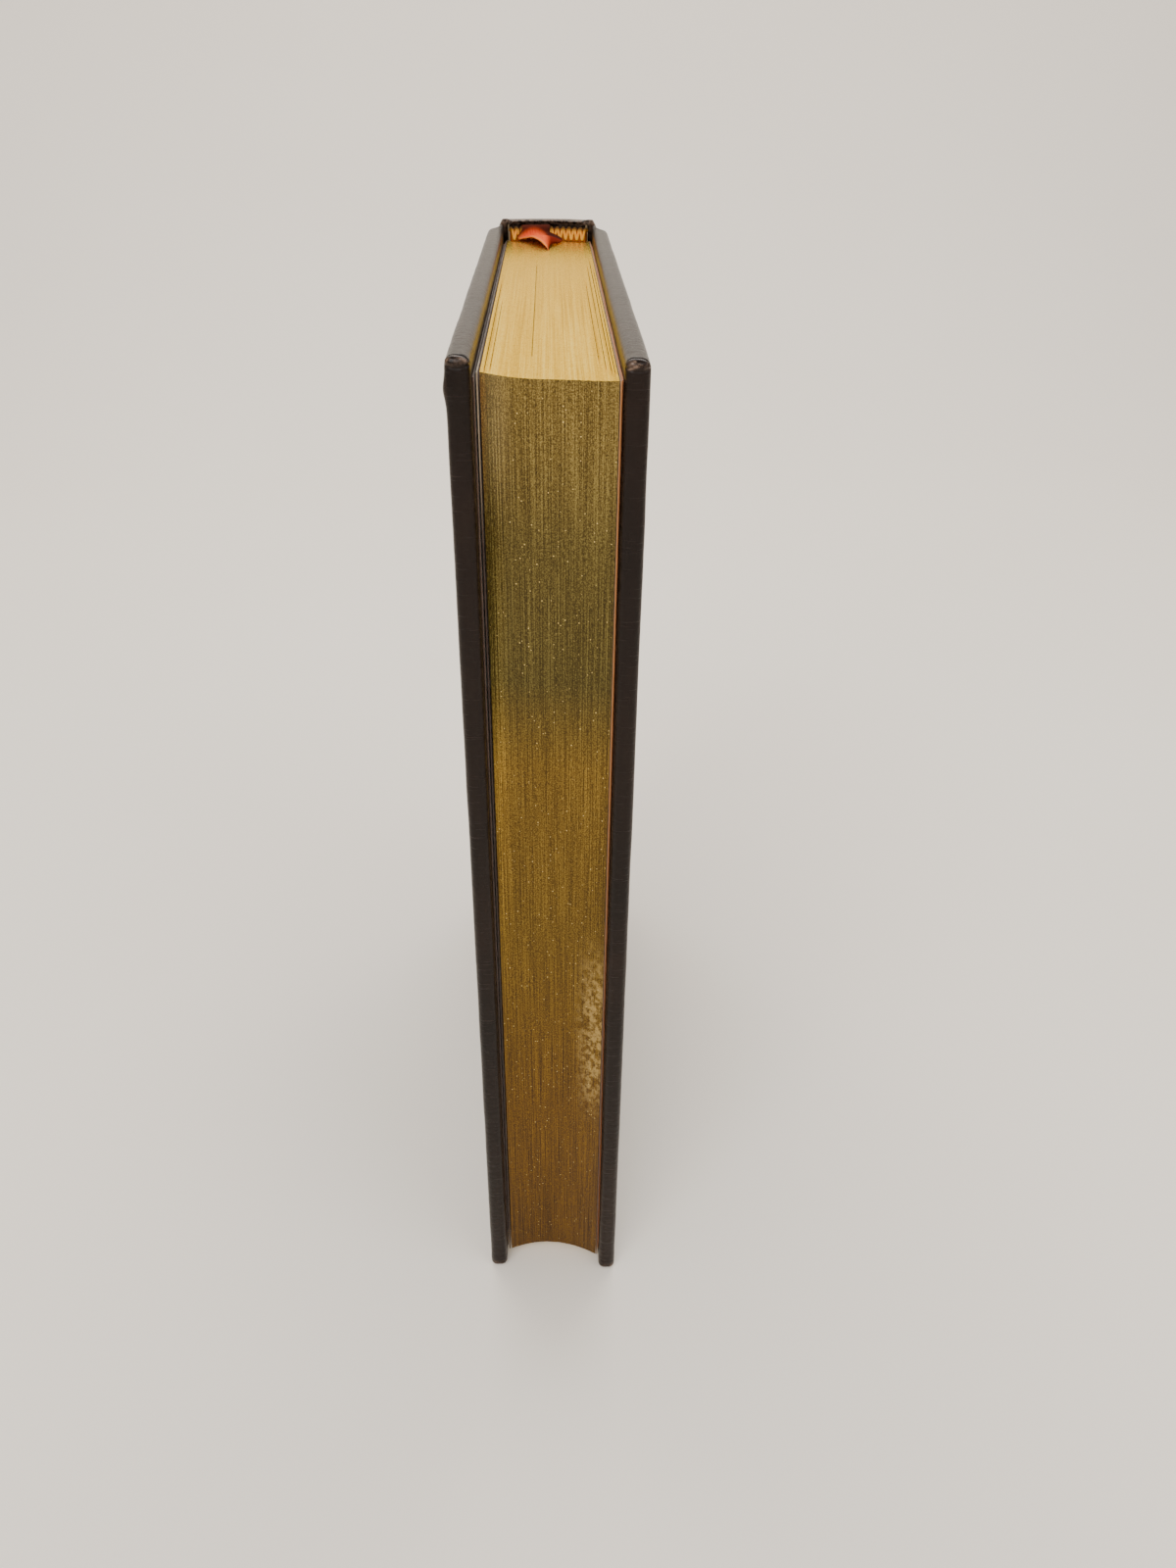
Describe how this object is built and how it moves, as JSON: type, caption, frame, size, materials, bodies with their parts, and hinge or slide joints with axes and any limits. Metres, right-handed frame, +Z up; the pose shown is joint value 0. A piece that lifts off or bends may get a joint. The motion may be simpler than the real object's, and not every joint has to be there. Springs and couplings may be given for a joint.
{
  "type": "leather-bound book",
  "caption": "Leather-bound book standing closed on its tail, with gilt page edges, rounded spine, raised bands, headbands, a ribbon marker and covers that open.",
  "frame": {"origin": "middle of the closed book's box, on the surface that it stands on", "axes": "+Z up from tail to head, +Y from the fore-edge to the spine, +X from the front cover to the back cover"},
  "size_m": [0.033, 0.1708, 0.236],
  "materials": {
    "gilt_pages": "gilt edges",
    "endpaper": "satin",
    "board": "matte",
    "leather": "grained, satin",
    "card": "matte",
    "gauze": "open weave",
    "lining_paper": "matte",
    "silk": "silk thread",
    "ribbon": "satin"
  },
  "bodies": {
    "book_block": {"text_block": "gilt_pages", "front_flyleaf": "endpaper", "back_flyleaf": "endpaper", "front_joint_leather": "leather", "back_joint_leather": "leather", "spine_leather": "leather", "spine_stiffener": "card", "raised_band_1": "card", "raised_band_2": "card", "raised_band_3": "card", "raised_band_4": "card", "raised_band_5": "card", "mull": "gauze", "spine_lining": "lining_paper", "headband": "silk", "tailband": "silk", "ribbon_marker": "ribbon"},
    "front_cover": {"front_board": "board", "front_leather": "leather", "front_pastedown": "endpaper"},
    "back_cover": {"back_board": "board", "back_leather": "leather", "back_pastedown": "endpaper"}
  },
  "joints": [
    {"name": "front_cover_hinge", "type": "hinge", "parent": "book_block", "child": "front_cover", "pos_m": [-0.0152, 0.076, 0.1175], "axis": [0, 0, -1], "range_deg": [0, 180], "deforming": ["front_joint_leather"]},
    {"name": "back_cover_hinge", "type": "hinge", "parent": "book_block", "child": "back_cover", "pos_m": [0.0152, 0.07525, 0.1175], "axis": [0, 0, 1], "range_deg": [0, 180], "deforming": ["back_joint_leather"]}
  ]
}
